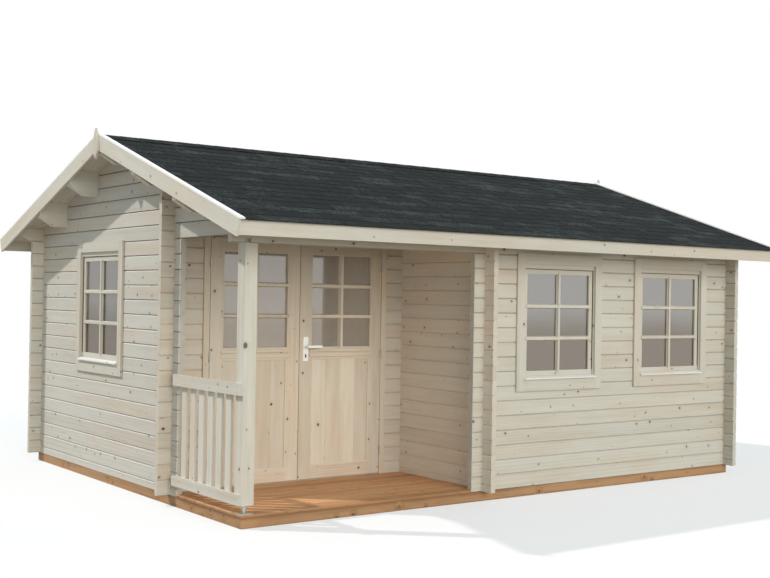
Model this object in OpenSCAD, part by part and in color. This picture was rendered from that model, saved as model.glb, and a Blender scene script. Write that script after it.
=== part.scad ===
// Log cabin garden shed with a corner porch, a pair of glazed doors and a low gable roof.
// Millimetres, +Z up, the front faces -Y. The origin lies on the ground in the middle of the plan.

/* [Plan] */
// Outer length of the walls along the front
cabin_l = 5050; // [4800:10:6200]
// Outer depth of the walls
cabin_d = 3800; // [3600:10:4200]
// Width of the porch, from the left wall's outer face to the porch side wall
porch_w = 2100; // [2050:10:2300]
// Depth of the porch, from the front wall's outer face to the door wall
porch_d = 1055; // [1000:5:1250]

/* [Base and floor] */
// Height of the bearers
base_h = 74; // [60:1:120]
// Width of the bearers
bearer_w = 60; // [50:1:100]
// Width of the floor joists
joist_w = 45; // [30:1:60]
// Bays between the joists
joist_bays = 9; // [6:1:14]
// Thickness of the floor and deck boards
floor_t = 18; // [15:0.5:28]
// Overhang of the deck past the bearers
deck_out = 8; // [0:1:20]
// Gap round the floor at the walls
floor_gap = 3; // [1:0.5:8]

/* [Logs] */
// Height of one log course
log_h = 114; // [112:0.5:118]
// Thickness of a log
log_t = 44; // [40:1:60]
// Height of the bevel along a log's top edges
log_bevel = 8; // [4:0.5:12]
// Height of the groove under a log
groove_h = 4.5; // [2:0.5:6]
// Depth of the groove and the bevel
groove_d = 9; // [4:0.5:12]
// Length of log past the wall that it crosses
log_end = 105; // [70:1:140]
// Play round a notch in a log
notch_play = 0.25; // [0.1:0.05:0.5]
// Courses in the front and back walls
courses = 18; // [18:1:20]
// Courses of the front wall that run over the porch, with the eaves log
beam_courses = 2; // [2:1:3]

/* [Roof] */
// Slope of the roof in degrees
roof_pitch = 18.4; // [15:0.1:22]
// Length of the roof past the front and back walls, to the fascia's face
eave_out = 350; // [250:5:450]
// Length of the roof boards past the gable walls
gable_out = 247; // [200:1:320]
// Thickness of the roof boards
roof_board_t = 18; // [15:0.5:25]
// Thickness of the shingle covering
cover_t = 8; // [5:0.5:15]
// Length of the covering past the fascia
cover_drip = 25; // [10:1:45]
// Width of a purlin
purlin_w = 66; // [44:1:90]
// Height of a purlin
purlin_h = 196; // [150:1:230]
// Distance of the upper purlins from the ridge
purlin_upper = 637; // [550:1:750]
// Distance of the lower purlins from the ridge
purlin_lower = 1326; // [1250:1:1420]
// Rise of the bevel under the ends of the purlins and the eaves logs
purlin_chamfer = 76; // [50:1:120]
// Length of the bevel under the ends of the purlins and the eaves logs
purlin_run = 125; // [60:1:180]
// Gap between a purlin's end and the barge board
purlin_gap = 4; // [0.5:0.5:20]
// Width of the barge boards
barge_w = 114; // [90:1:150]
// Thickness of barge boards, fascias and trim boards
board_t = 18; // [15:0.5:25]
// Width of the strip on top of a barge board
cap_w = 38; // [25:1:80]
// Reach of a verge cap past the barge board's end
cap_out = 9; // [0:1:30]
// Thickness of that strip
cap_t = 12; // [8:0.5:20]
// Height of the eaves fascias
fascia_h = 102; // [80:1:125]
// Width of the finial boards at the apex
finial_w = 80; // [60:1:120]
// Height of the finial boards
finial_h = 240; // [220:1:320]
// Height of the finial's taper at the top
finial_taper = 100; // [60:1:110]
// Height of the finial's point at the bottom
finial_point = 60; // [40:1:80]
// Width of the finial's tip
finial_tip = 8; // [6:1:30]
// Height of the finial above the cap strips
finial_rise = 34; // [20:1:60]

/* [Windows] */
// Width of the hole in the logs for a window
win_hole_w = 830; // [700:5:840]
// Courses below a window
win_sill_courses = 7; // [6:1:8]
// Logs between the porch side wall and the first front window's trim
win_first = 284; // [200:1:330]
// Distance from one front window to the next
win_pitch = 1346; // [1200:1:1360]
// Least length of log between the last front window's trim and the right wall
win_last = 100; // [50:1:200]
// Middle of the gable window, from the front wall's outer face
win_gable_y = 2424; // [2350:1:2600]
// Gap between a window frame and the logs
frame_gap = 3; // [1:0.5:6]
// Width of a window frame's jambs
win_jamb = 24; // [18:1:45]
// Depth of a window frame, from the wall's face inwards
frame_d = 70; // [60:1:90]
// Height of a window frame's head
win_head = 98; // [50:1:110]
// Height of a window frame's sill
win_sill = 70; // [50:1:100]
// Width of a sash's bars round the glass
sash_w = 42; // [34:1:70]
// Thickness of a sash
sash_t = 32; // [24:1:40]
// Distance of a sash behind the wall's face
sash_in = 10; // [4:1:30]
// Gap between sash and frame
sash_gap = 0.5; // [0.2:0.1:1]
// Thickness of the glass
glass_t = 6; // [4:0.5:14]
// Gap round the glass
glass_gap = 0.3; // [0.1:0.1:0.8]
// Width of the upright trim boards
trim_w = 76; // [60:1:100]
// Height of the top trim board
trim_h = 84; // [60:1:100]
// Height of the bottom trim board
trim_low_h = 92; // [60:1:110]
// Width of trim outside the hole in the logs
trim_over = 57; // [40:1:100]
// Overhang of the sill strip in front of the trim
sill_out = 18; // [6:1:30]
// Height of the sill strip
sill_h = 24; // [18:1:50]
// Fall of the sill strip to the front
sill_fall = 14; // [5:1:20]

/* [Doors] */
// Middle of the doorway, from the left wall's outer face
door_x = 1082; // [1060:1:1130]
// Width of one door leaf
leaf_w = 785; // [700:1:790]
// Height of a door leaf
leaf_h = 1880; // [1600:1:2100]
// Thickness of a door leaf
leaf_t = 44; // [40:1:50]
// Gap round the leaves
leaf_gap = 5; // [5:0.5:8]
// Gap under the leaves
sill_gap = 10; // [8:0.5:15]
// Width of a leaf's stiles
stile_w = 112; // [90:1:125]
// Height of a leaf's top rail
top_rail = 107; // [80:1:130]
// Height of a leaf's bottom rail
bottom_rail = 98; // [80:1:160]
// Height of the glass in a leaf
door_glass_h = 728; // [600:1:760]
// Height of the rail between glass and panel
lock_rail = 85; // [70:1:120]
// Thickness of a leaf's panel
panel_t = 22; // [16:1:30]
// Width of the door frame's jambs
door_jamb = 36; // [30:1:45]
// Height of the door frame's head
door_head = 22; // [18:1:60]
// Width of the stop behind the leaves
door_stop = 15; // [10:1:25]
// Gap between a leaf and its stop
stop_gap = 1; // [0.5:0.5:3]
// Width of the boards round the doorway
door_trim_w = 48; // [44:1:70]
// Distance of the hinge pins in front of the leaves
hinge_out = 8; // [7:0.5:12]
// Diameter of a hinge knuckle
knuckle_d = 14; // [12:0.5:16]
// Diameter of a hinge pin
pin_d = 7; // [5:0.5:8]
// Clearance round a hinge pin
pin_gap = 0.3; // [0.2:0.05:0.5]
// Height of a knuckle
knuckle_h = 38; // [25:1:50]
// Width of a hinge plate
hinge_plate_w = 10; // [8:1:44]
// Thickness of a hinge plate
hinge_plate_t = 2; // [1.5:0.5:4]
// Height of the lever above the bottom of the leaf
lever_z = 1048; // [1010:1:1080]
// Length of the lever
lever_l = 128; // [90:1:150]
// Diameter of the lever's neck and spindle
spindle_d = 15; // [12:0.5:17]
// Height of the lever's bar
lever_bar_h = 20; // [18:0.5:26]
// Thickness of the lever's bar
lever_bar_t = 11; // [8:0.5:16]
// Distance of the lever from the leaf
lever_out = 48; // [35:1:60]
// Width of a lock plate
plate_w = 46; // [35:1:60]
// Height of a lock plate
plate_h = 190; // [140:1:240]
// Thickness of a lock plate
plate_t = 3; // [2:0.5:5]

/* [Porch] */
// Width of the porch post
post_w = 95; // [80:1:120]
// Clear height of the steel foot
foot_h = 62; // [30:1:100]
// Diameter of the foot's threaded rod
foot_rod_d = 18; // [14:0.5:30]
// Width of the foot's plates
foot_plate_w = 90; // [70:1:95]
// Thickness of the foot's plates
foot_plate_t = 5; // [3:0.5:10]
// Thickness of the rails
rail_t = 28; // [18:1:45]
// Height of the top rail
top_rail_h = 83; // [60:1:110]
// Height of the bottom rail
low_rail_h = 72; // [50:1:100]
// Height of the railing above the deck
railing_h = 874; // [800:1:1050]
// Gap under the bottom rail
railing_gap = 65; // [20:1:100]
// Lap of the rails on the log ends
rail_lap = 40; // [20:1:80]
// Length of rail above and below a baluster
baluster_short = 10; // [5:1:30]
// Number of balusters
balusters = 6; // [5:1:7]
// Width of a baluster
baluster_w = 72; // [50:1:74]
// Thickness of a baluster
baluster_t = 18; // [14:1:25]

/* [Hidden] */
$fn = 48;

pale_wood = [0.86, 0.79, 0.66];
shade_wood = [0.80, 0.70, 0.55];
brown_wood = [0.48, 0.33, 0.22];
glass_blue = [0.62, 0.72, 0.78, 0.5];
shingle_grey = [0.22, 0.26, 0.25];
steel_grey = [0.70, 0.71, 0.72];

joint = 0.5;         // joint between pieces that butt
lay_gap = 0.1;       // gap between the roof's layers
over = 1;            // reach of a cut past the face that it goes through
play = notch_play;

// Faces of the walls
xl = -cabin_l / 2;
xr = cabin_l / 2;
yf = -cabin_d / 2;
yb = cabin_d / 2;
xp = xl + porch_w;       // porch side wall, face to the porch
yd = yf + porch_d;       // door wall, face to the porch

// Log courses: walls along X start with a whole log, walls along Y with a half log
slope = tan(roof_pitch);
function course_z(k) = base_h + k * log_h;
wall_top = course_z(courses);
beam_z = course_z(courses - beam_courses);
header_z = beam_z + log_h / 2;
deck_z = base_h + floor_t;
function roof_z(y) = wall_top + (cabin_d / 2 - abs(y)) * slope;
ridge_z = roof_z(0);
board_v = roof_board_t / cos(roof_pitch);
cover_v = cover_t / cos(roof_pitch);
barge_v = barge_w / cos(roof_pitch);
cap_v = cap_t / cos(roof_pitch);
roof_top = board_v + cover_v;
verge_x = xr + gable_out;
eave_y = yb + eave_out;

// Doorway
door_mid = xl + door_x;
clear_w = 2 * leaf_w + 3 * leaf_gap;
door_hole_w = clear_w + 2 * (door_jamb + frame_gap);
leaf_z = deck_z + sill_gap;
head_z = leaf_z + leaf_h + leaf_gap;
door_top_z = head_z + door_head + frame_gap;
door_courses = floor((door_top_z - base_h) / log_h + 0.001);
leaf_front = yd - board_t;
leaf_back = leaf_front + leaf_t;
hinge_y = leaf_front - hinge_out;
left_hinge_x = door_mid - clear_w / 2 + leaf_gap / 2;
right_hinge_x = door_mid + clear_w / 2 - leaf_gap / 2;
left_leaf_x = door_mid - clear_w / 2 + leaf_gap;
right_leaf_x = door_mid + leaf_gap / 2;
panel_z = leaf_z + bottom_rail;
door_glass_z = leaf_z + leaf_h - top_rail - door_glass_h;
panel_h = door_glass_z - lock_rail - panel_z;
lever_x = right_leaf_x + stile_w / 2;
lever_height = leaf_z + lever_z;
hinge_zs = [leaf_z + 150, leaf_z + leaf_h / 2, leaf_z + leaf_h - 150 - 2 * knuckle_h];

// Outline of stacked logs in cross section: each log has a groove under it and a bevel on its top edges.
// The top is a joint with the next log, or slopes from one given height to another
function face_up(u, inward, z0, n) = [for (k = [0 : n - 1], p = [[groove_d, 0], [groove_d, groove_h],
    [0, groove_h], [0, log_h - log_bevel]]) [u + inward * p[0], z0 + k * log_h + p[1]]];
function turned(list) = [for (k = [len(list) - 1 : -1 : 0]) list[k]];
function log_stack(z0, n, tops = undef) = let(
    last = is_undef(tops) ? 4 * n - 1 : 4 * n - 2,
    outer = [for (k = [0 : last]) face_up(0, 1, z0, n)[k]],
    inner = [for (k = [0 : last]) face_up(log_t, -1, z0, n)[k]],
    flat = z0 + n * log_h,
    end = is_undef(tops) ? [[groove_d, flat], [log_t - groove_d, flat]] : [[0, tops[0]], [log_t, tops[1]]])
    concat(outer, end, turned(inner));

// Prism with an outline in Y and Z, along X
module along_x(x0, x1) { translate([x0, 0, 0]) rotate([90, 0, 90]) linear_extrude(x1 - x0) children(); }
// Prism with an outline in X and Z, along Y
module along_y(y0, y1) { translate([0, y1, 0]) rotate([90, 0, 0]) linear_extrude(y1 - y0) children(); }
// Box from two corners
module span(a, b) { translate(a) cube(b - a); }

// Logs along X from course k0 up, n courses, with the outer face at y and notches at each crossing wall
module x_logs(x0, x1, y, k0, n, crossings, top = undef) {
    difference() {
        along_x(x0, x1) translate([y, 0]) polygon(log_stack(course_z(k0), n, top));
        for (x = crossings, j = [k0 : k0 + n + 1])
            span([x - play, y - over, course_z(j) - log_h / 4 - play],
                 [x + log_t + play, y + log_t + over, course_z(j) + log_h / 4 + play]);
    }
}

// Logs along Y inside an outline in Y and Z, with the outer face at x and notches at each crossing wall
module y_logs(y0, y1, x, k0, n, crossings, outline) {
    z0 = course_z(k0) - log_h / 2;
    difference() {
        intersection() {
            along_y(y0, y1) translate([x, 0]) polygon(log_stack(z0, n));
            along_x(x - over, x + log_t + over) polygon(outline);
        }
        for (y = crossings, k = [k0 - 1 : k0 + n])
            span([x - over, y - play, course_z(k) + log_h / 4 - play],
                 [x + log_t + over, y + log_t + play, course_z(k) + 3 * log_h / 4 + play]);
    }
}
function band(y0, y1, z0, z1) = [[y0, z0], [y1, z0], [y1, z1], [y0, z1]];
function under_roof(y0, y1, z0) = y0 < 0 && y1 > 0
    ? [[y0, z0], [y1, z0], [y1, roof_z(y1)], [0, ridge_z], [y0, roof_z(y0)]]
    : [[y0, z0], [y1, z0], [y1, roof_z(y1)], [y0, roof_z(y0)]];

// Slots for the purlins in a wall along Y
module purlin_slots(x, ys) {
    for (y = ys)
        span([x - over, y - purlin_w / 2 - play, purlin_z(y)],
             [x + log_t + over, y + purlin_w / 2 + play, ridge_z + over]);
}
purlin_ys = [-purlin_lower, -purlin_upper, 0, purlin_upper, purlin_lower];
function purlin_z(y) = roof_z(y) - purlin_h;

// Base
module base_bearers() {
    color(brown_wood) {
        span([xl, yf, 0], [xr, yf + bearer_w, base_h]);
        span([xl, yb - bearer_w, 0], [xr, yb, base_h]);
        for (x = [xl, xr - bearer_w])
            span([x, yf + bearer_w + joint, 0], [x + bearer_w, yb - bearer_w - joint, base_h]);
        span([xl + bearer_w + joint, yd, 0], [xp + bearer_w, yd + bearer_w, base_h]);
        span([xp, yf + bearer_w + joint, 0], [xp + bearer_w, yd - joint, base_h]);
    }
}
module floor_joists() {
    pitch = cabin_l / joist_bays;
    color(brown_wood) for (k = [1 : joist_bays - 1]) {
        x = xl + k * pitch;
        beside = x - joist_w / 2 < xp + bearer_w + joint;
        clear = beside && x + joist_w / 2 > xp - joint ? 0 : 1;
        if (beside && clear == 1)
            span([x - joist_w / 2, yf + bearer_w + joint, 0], [x + joist_w / 2, yd - joint, base_h]);
        span([x - joist_w / 2, beside ? yd + bearer_w + joint : yf + bearer_w + joint, 0],
             [x + joist_w / 2, yb - bearer_w - joint, base_h]);
    }
}
module room_floor() {
    rear = xl + log_t + floor_gap;
    color(shade_wood) difference() {
        union() {
            span([rear, yd + log_t + floor_gap, base_h],
                 [xr - log_t - floor_gap, yb - log_t - floor_gap, deck_z]);
            span([xp + log_t + floor_gap, yf + log_t + floor_gap, base_h],
                 [xr - log_t - floor_gap, yd + log_t + floor_gap - joint, deck_z]);
        }
        span([xp - floor_gap, yd, base_h - over],
             [xp + log_t + floor_gap, yd + log_t + log_end + floor_gap, deck_z + over]);
        span([xp + log_t, yd - floor_gap, base_h - over],
             [xp + log_t + log_end + floor_gap, yd + log_t + floor_gap + joint, deck_z + over]);
    }
}
module porch_deck() {
    color(brown_wood) difference() {
        span([xl - deck_out, yf - deck_out, base_h], [xp - floor_gap, yd - floor_gap, deck_z]);
        span([xl - deck_out - over, yd - log_end - floor_gap, base_h - over],
             [xl + log_t + floor_gap, yd, deck_z + over]);
        span([xp - log_end - floor_gap, yf - deck_out - over, base_h - over],
             [xp, yf + log_t + floor_gap, deck_z + over]);
    }
}

// Walls
front_crossings = [xp, xr - log_t];
win_outer = win_hole_w + 2 * trim_over;
front_clear = xr - xp - 2 * log_t;
front_windows = floor((front_clear - win_first - win_outer - win_last) / win_pitch) + 1;
win_xs = [for (k = [0 : front_windows - 1]) xp + log_t + win_first + win_outer / 2 + k * win_pitch];
module front_wall_lower() {
    color(pale_wood) x_logs(xp - log_end, xr + log_end, yf, 0, win_sill_courses, front_crossings);
}
module front_wall_piers() {
    n = courses - beam_courses - win_sill_courses;
    half = win_hole_w / 2;
    starts = concat([xp - log_end], [for (x = win_xs) x + half]);
    ends = concat([for (x = win_xs) x - half], [xr + log_end]);
    color(pale_wood) for (k = [0 : front_windows])
        x_logs(starts[k], ends[k], yf, win_sill_courses, n,
            [for (x = front_crossings) if (x > starts[k] && x < ends[k]) x]);
}
module front_beam() {
    color(pale_wood) x_logs(xl - log_end, xr + log_end, yf, courses - beam_courses, beam_courses - 1,
        [xl, xp, xr - log_t]);
}
module back_wall() {
    color(pale_wood) x_logs(xl - log_end, xr + log_end, yb - log_t, 0, courses - 1, [xl, xr - log_t]);
}
// Top log of the front and back walls: it reaches out under the verge with a bevelled end, as the purlins do
module eaves_log(y, crossings, tops) {
    reach = verge_x - purlin_gap;
    z0 = course_z(courses - 1);
    top = wall_top + log_t * slope + over;
    intersection() {
        x_logs(-reach, reach, y, courses - 1, 1, crossings, tops);
        along_y(y - over, y + log_t + over) bevelled_ends(reach, z0, top);
    }
}
module eaves_logs() {
    color(pale_wood) {
        eaves_log(yf, [xl, xp, xr - log_t], [wall_top, wall_top + log_t * slope]);
        eaves_log(yb - log_t, [xl, xr - log_t], [wall_top + log_t * slope, wall_top]);
    }
}
// Outline in X and Z of a timber along the roof, with its lower corners cut off
module bevelled_ends(reach, z0, top) {
    polygon([[-reach + purlin_run, z0], [reach - purlin_run, z0], [reach, z0 + purlin_chamfer],
        [reach, top], [-reach, top], [-reach, z0 + purlin_chamfer]]);
}
gable_half = win_hole_w / 2;
win_y = yf + win_gable_y;
sill_z = course_z(win_sill_courses) + log_h / 2;
module left_wall_lower() {
    y0 = yd - log_end;
    color(pale_wood) y_logs(y0, yb + log_end, xl, 0, win_sill_courses + 1, [yd, yb - log_t],
        band(y0 - over, yb + log_end + over, base_h, sill_z));
}
module left_wall_piers() {
    n = courses - beam_courses - win_sill_courses;
    y0 = yd - log_end;
    y1 = yb + log_end;
    color(pale_wood) {
        y_logs(y0, win_y - gable_half, xl, win_sill_courses + 1, n, [yd],
            band(y0 - over, win_y, sill_z, header_z));
        y_logs(win_y + gable_half, y1, xl, win_sill_courses + 1, n, [yb - log_t],
            band(win_y, y1 + over, sill_z, header_z));
    }
}
// Gable: logs from the head of the porch up to the roof, over the whole depth
module gable(x, crossings) {
    n = ceil((ridge_z - header_z) / log_h);
    difference() {
        y_logs(yf - log_end, yb + log_end, x, courses - beam_courses + 1, n, crossings,
            under_roof(yf - log_end, yb + log_end, header_z));
        purlin_slots(x, purlin_ys);
    }
}
module left_gable() { color(pale_wood) gable(xl, [yf, yd, yb - log_t]); }
module right_gable() { color(pale_wood) gable(xr - log_t, [yf, yb - log_t]); }
module right_wall() {
    color(pale_wood) y_logs(yf - log_end, yb + log_end, xr - log_t, 0, courses - beam_courses + 1,
        [yf, yb - log_t], band(yf - log_end - over, yb + log_end + over, base_h, header_z));
}
module porch_side_wall() {
    y0 = yf - log_end;
    y1 = yd + log_t + log_end;
    n = ceil((roof_z(y1) - base_h) / log_h) + 1;
    color(pale_wood) difference() {
        y_logs(y0, y1, xp, 0, n, [yf, yd], under_roof(y0, y1, base_h));
        purlin_slots(xp, [-purlin_lower, -purlin_upper]);
    }
}
// The door wall parts at the top of the doorway: the piers end there and the logs over the door start there
module door_wall_piers() {
    n = ceil((door_top_z - base_h) / log_h - 0.001);
    color(pale_wood) difference() {
        union() {
            x_logs(xl - log_end, door_mid - door_hole_w / 2, yd, 0, n, [xl]);
            x_logs(door_mid + door_hole_w / 2, xp + log_t + log_end, yd, 0, n, [xp]);
        }
        if (course_z(n) > door_top_z + joint)
            span([xl - log_end - over, yd - over, door_top_z],
                 [xp + log_t + log_end + over, yd + log_t + over, course_z(n) + over]);
    }
}
module over_door_logs() {
    n = floor((roof_z(yd) - course_z(door_courses)) / log_h);
    color(pale_wood) difference() {
        x_logs(xl - log_end, xp + log_t + log_end, yd, door_courses, n,
            [xl, xp], [roof_z(yd), roof_z(yd + log_t)]);
        if (door_top_z > course_z(door_courses) + joint)
            span([xl - log_end - over, yd - over, course_z(door_courses) - over],
                 [xp + log_t + log_end + over, yd + log_t + over, door_top_z]);
    }
}

// Windows, drawn about their own middle: u along the wall, v up from the hole's bottom, w out of the wall
win_hole_h = (courses - beam_courses - win_sill_courses) * log_h;
frame_w = win_hole_w - 2 * frame_gap;
frame_h = win_hole_h - frame_gap;
sash_ow = frame_w - 2 * win_jamb - 2 * sash_gap;
sash_oh = frame_h - win_head - win_sill - 2 * sash_gap;
sash_v = win_sill + sash_gap;
module on_front(x) { translate([x, yf, course_z(win_sill_courses)]) children(); }
module on_left() { translate([xl, win_y, sill_z]) rotate([0, 0, -90]) children(); }
// Four bars round a rectangle, with the uprights between head and sill
module bars(w, h, side, sill, head, y0, y1) {
    span([-w / 2, y0, 0], [w / 2, y1, sill]);
    span([-w / 2, y0, h - head], [w / 2, y1, h]);
    for (x = [-w / 2, w / 2 - side])
        span([x, y0, sill + joint / 2], [x + side, y1, h - head - joint / 2]);
}
module window_frame() {
    bars(frame_w, frame_h, win_jamb, win_sill, win_head, 0, frame_d);
    translate([0, 0, sash_v]) bars(sash_ow, sash_oh, sash_w, sash_w, sash_w, sash_in, sash_in + sash_t);
}
module window_glass() {
    w = sash_ow - 2 * sash_w - 2 * glass_gap;
    h = sash_oh - 2 * sash_w - 2 * glass_gap;
    mid = sash_in + sash_t / 2;
    span([-w / 2, mid - glass_t / 2, sash_v + sash_w + glass_gap],
         [w / 2, mid + glass_t / 2, sash_v + sash_w + glass_gap + h]);
}
// Trim boards on the wall's face: two uprights, a top board, a bottom board and the sill strip above it
module window_trim() {
    half = win_hole_w / 2 + trim_over;
    low = sash_v - sill_h - trim_low_h;
    high = win_hole_h + board_t;
    for (x = [-half, half - trim_w]) span([x, -board_t, low], [x + trim_w, 0, high]);
    inner = half - trim_w - joint;
    span([-inner, -board_t, high - trim_h], [inner, 0, high]);
    span([-inner, -board_t, low], [inner, 0, low + trim_low_h]);
    foot = low + trim_low_h + joint;
    along_x(-inner, inner) polygon([[0, foot], [-board_t - sill_out, foot],
        [-board_t - sill_out, sash_v - sill_fall], [0, sash_v]]);
}
module front_window_trims() { color(pale_wood) for (x = win_xs) on_front(x) window_trim(); }
module front_window_frames() { color(pale_wood) for (x = win_xs) on_front(x) window_frame(); }
module front_window_glass() { color(glass_blue) for (x = win_xs) on_front(x) window_glass(); }
module gable_window_trim() { color(pale_wood) on_left() window_trim(); }
module gable_window_frame() { color(pale_wood) on_left() window_frame(); }
module gable_window_glass() { color(glass_blue) on_left() window_glass(); }

// Door frame: jambs and head with a stop behind the leaves, and a threshold on the bearer
module door_frame() {
    half = clear_w / 2;
    back = yd + log_t;
    stop_y = leaf_back + stop_gap;
    stop_z = head_z - door_stop;
    threshold_z = leaf_z - leaf_gap;
    color(pale_wood) translate([door_mid, 0, 0]) {
        for (s = [-1, 1])
            translate([0, 0, threshold_z + joint]) linear_extrude(stop_z - threshold_z - 2 * joint)
                polygon([[s * half, yd], [s * (half + door_jamb), yd], [s * (half + door_jamb), back],
                    [s * (half - door_stop), back], [s * (half - door_stop), stop_y], [s * half, stop_y]]);
        along_x(-half - door_jamb, half + door_jamb) {
            polygon([[yd, head_z], [stop_y, head_z], [stop_y, stop_z], [back, stop_z],
                [back, door_top_z - frame_gap], [yd, door_top_z - frame_gap]]);
            polygon([[yd, base_h], [back, base_h], [back, threshold_z], [yd, threshold_z]]);
        }
    }
}
module door_trim() {
    half = clear_w / 2;
    top = head_z;
    color(pale_wood) translate([door_mid, leaf_front, 0]) {
        for (x = [-half - door_trim_w, half])
            span([x, 0, deck_z], [x + door_trim_w, board_t, top - joint]);
        span([-half - door_trim_w, 0, top], [half + door_trim_w, board_t, top + door_trim_w]);
    }
}
// Door leaf with its lower left corner at the origin: glazed above, a thinner panel below
module leaf() {
    inner = leaf_w - 2 * stile_w;
    recess = (leaf_t - panel_t) / 2;
    difference() {
        cube([leaf_w, leaf_t, leaf_h]);
        translate([stile_w, -over, leaf_h - top_rail - door_glass_h])
            cube([inner, leaf_t + 2 * over, door_glass_h]);
        for (y = [-over, leaf_t - recess])
            translate([stile_w, y, bottom_rail]) cube([inner, recess + over, panel_h]);
    }
}
module leaf_pane() {
    translate([stile_w + glass_gap, (leaf_t - glass_t) / 2, leaf_h - top_rail - door_glass_h + glass_gap])
        cube([leaf_w - 2 * stile_w - 2 * glass_gap, glass_t, door_glass_h - 2 * glass_gap]);
}
module left_door_leaf() { color(pale_wood) translate([left_leaf_x, leaf_front, leaf_z]) leaf(); }
module left_door_glass() { color(glass_blue) translate([left_leaf_x, leaf_front, leaf_z]) leaf_pane(); }
module right_door_leaf() {
    color(pale_wood) difference() {
        translate([right_leaf_x, leaf_front, leaf_z]) leaf();
        translate([lever_x, leaf_front - over, lever_height]) rotate([-90, 0, 0])
            cylinder(d = spindle_d + 8, h = leaf_t + 2 * over);
    }
}
module right_door_glass() { color(glass_blue) translate([right_leaf_x, leaf_front, leaf_z]) leaf_pane(); }

// Hinges: a knuckle and pin on the frame below, a bored knuckle on the leaf above
module hinge_plate(side, z) {
    x0 = min(0, side * hinge_plate_w);
    span([x0, hinge_out - hinge_plate_t, z], [x0 + hinge_plate_w, hinge_out, z + knuckle_h]);
}
module frame_knuckle(side, z) {
    hinge_plate(side, z);
    translate([0, 0, z]) cylinder(d = knuckle_d, h = knuckle_h);
    translate([0, 0, z]) cylinder(d = pin_d, h = 2 * knuckle_h);
}
module leaf_knuckle(side, z) {
    difference() {
        union() {
            hinge_plate(side, z + knuckle_h + pin_gap);
            translate([0, 0, z + knuckle_h + pin_gap]) cylinder(d = knuckle_d, h = knuckle_h);
        }
        translate([0, 0, z]) cylinder(d = pin_d + 2 * pin_gap, h = 2 * knuckle_h + over);
    }
}
module hinge_pins() {
    color(steel_grey) for (z = hinge_zs) {
        translate([left_hinge_x, hinge_y, 0]) frame_knuckle(-1, z);
        translate([right_hinge_x, hinge_y, 0]) frame_knuckle(1, z);
    }
}
module left_door_hinges() {
    color(steel_grey) translate([left_hinge_x, hinge_y, 0]) for (z = hinge_zs) leaf_knuckle(1, z);
}
module right_door_hinges() {
    color(steel_grey) translate([right_hinge_x, hinge_y, 0]) for (z = hinge_zs) leaf_knuckle(-1, z);
}

// Lock plates on both faces of the right leaf, and the levers on their common spindle
module lock_plates() {
    color(steel_grey) for (y = [leaf_front - plate_t, leaf_back]) difference() {
        translate([lever_x - plate_w / 2, y, lever_height - plate_h * 0.6]) cube([plate_w, plate_t, plate_h]);
        translate([lever_x, y - over, lever_height]) rotate([-90, 0, 0])
            cylinder(d = spindle_d + 2 * pin_gap, h = plate_t + 2 * over);
    }
}
module door_lever() {
    color(steel_grey) {
        translate([lever_x, leaf_front - lever_out, lever_height]) rotate([-90, 0, 0])
            cylinder(d = spindle_d, h = leaf_t + 2 * lever_out);
        for (y = [leaf_front - lever_out, leaf_back + lever_out])
            along_y(y - lever_bar_t / 2, y + lever_bar_t / 2) translate([lever_x, lever_height]) {
                translate([0, -lever_bar_h / 2]) square([lever_l - lever_bar_h / 2, lever_bar_h]);
                for (x = [0, lever_l - lever_bar_h / 2]) translate([x, 0]) circle(d = lever_bar_h);
            }
    }
}

// Roof
module purlin(y) {
    z0 = purlin_z(y);
    half = purlin_w / 2;
    reach = verge_x - purlin_gap;
    top = roof_z(0) + over;
    tops = y == 0 ? [[half, roof_z(half)], [0, ridge_z], [-half, roof_z(half)]]
        : [[half, roof_z(y + half)], [-half, roof_z(y - half)]];
    shifted = [for (p = tops) [p[0] + y, p[1]]];
    intersection() {
        along_x(-reach, reach) polygon(concat([[y - half, z0], [y + half, z0]], shifted));
        along_y(y - half - over, y + half + over) bevelled_ends(reach, z0, top);
    }
}
module purlins() { color(pale_wood) for (y = purlin_ys) purlin(y); }
// One slope of a layer lying above the rafters' line, from the ridge to y1, in Y and Z
function slope_strip(side, y1, v0, v1, square = false) = let(y2 = square ? y1 + square_cut(v1 - v0) : y1) [
    for (p = [[joint / 2, v0], [y1, v0], [y2, v1], [joint / 2, v1]]) [side * p[0], roof_z(p[0]) + p[1]]];
// How far a board's upper corner stands out past its lower one where its end is cut square to the slope
function square_cut(v) = v * slope / (1 + slope * slope);
module roof_boards() {
    color(pale_wood) for (s = [-1, 1])
        along_x(-verge_x, verge_x) polygon(slope_strip(s, eave_y - board_t, lay_gap, board_v));
}
module roof_covering() {
    color(shingle_grey) for (s = [-1, 1])
        along_x(-verge_x, verge_x) polygon(slope_strip(s, eave_y + cover_drip, board_v + lay_gap, roof_top));
}
module barge_boards() {
    color(pale_wood) for (x = [-verge_x - board_t, verge_x], s = [-1, 1])
        along_x(x, x + board_t) polygon(slope_strip(s, eave_y, roof_top - barge_v, roof_top, true));
}
module verge_caps() {
    reach = eave_y + square_cut(barge_v) + cap_out;
    color(pale_wood) for (x = [-verge_x - board_t, verge_x + board_t - cap_w], s = [-1, 1])
        along_x(x, x + cap_w)
            polygon(slope_strip(s, reach, roof_top + lay_gap, roof_top + cap_v, true));
}
module eaves_fascias() {
    low = roof_z(eave_y) + board_v - fascia_h;
    color(pale_wood) for (s = [-1, 1]) along_x(-verge_x, verge_x)
        polygon([[s * eave_y, low], [s * eave_y, roof_z(eave_y) + board_v],
            [s * (eave_y - board_t), roof_z(eave_y - board_t) + board_v], [s * (eave_y - board_t), low]]);
}
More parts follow.
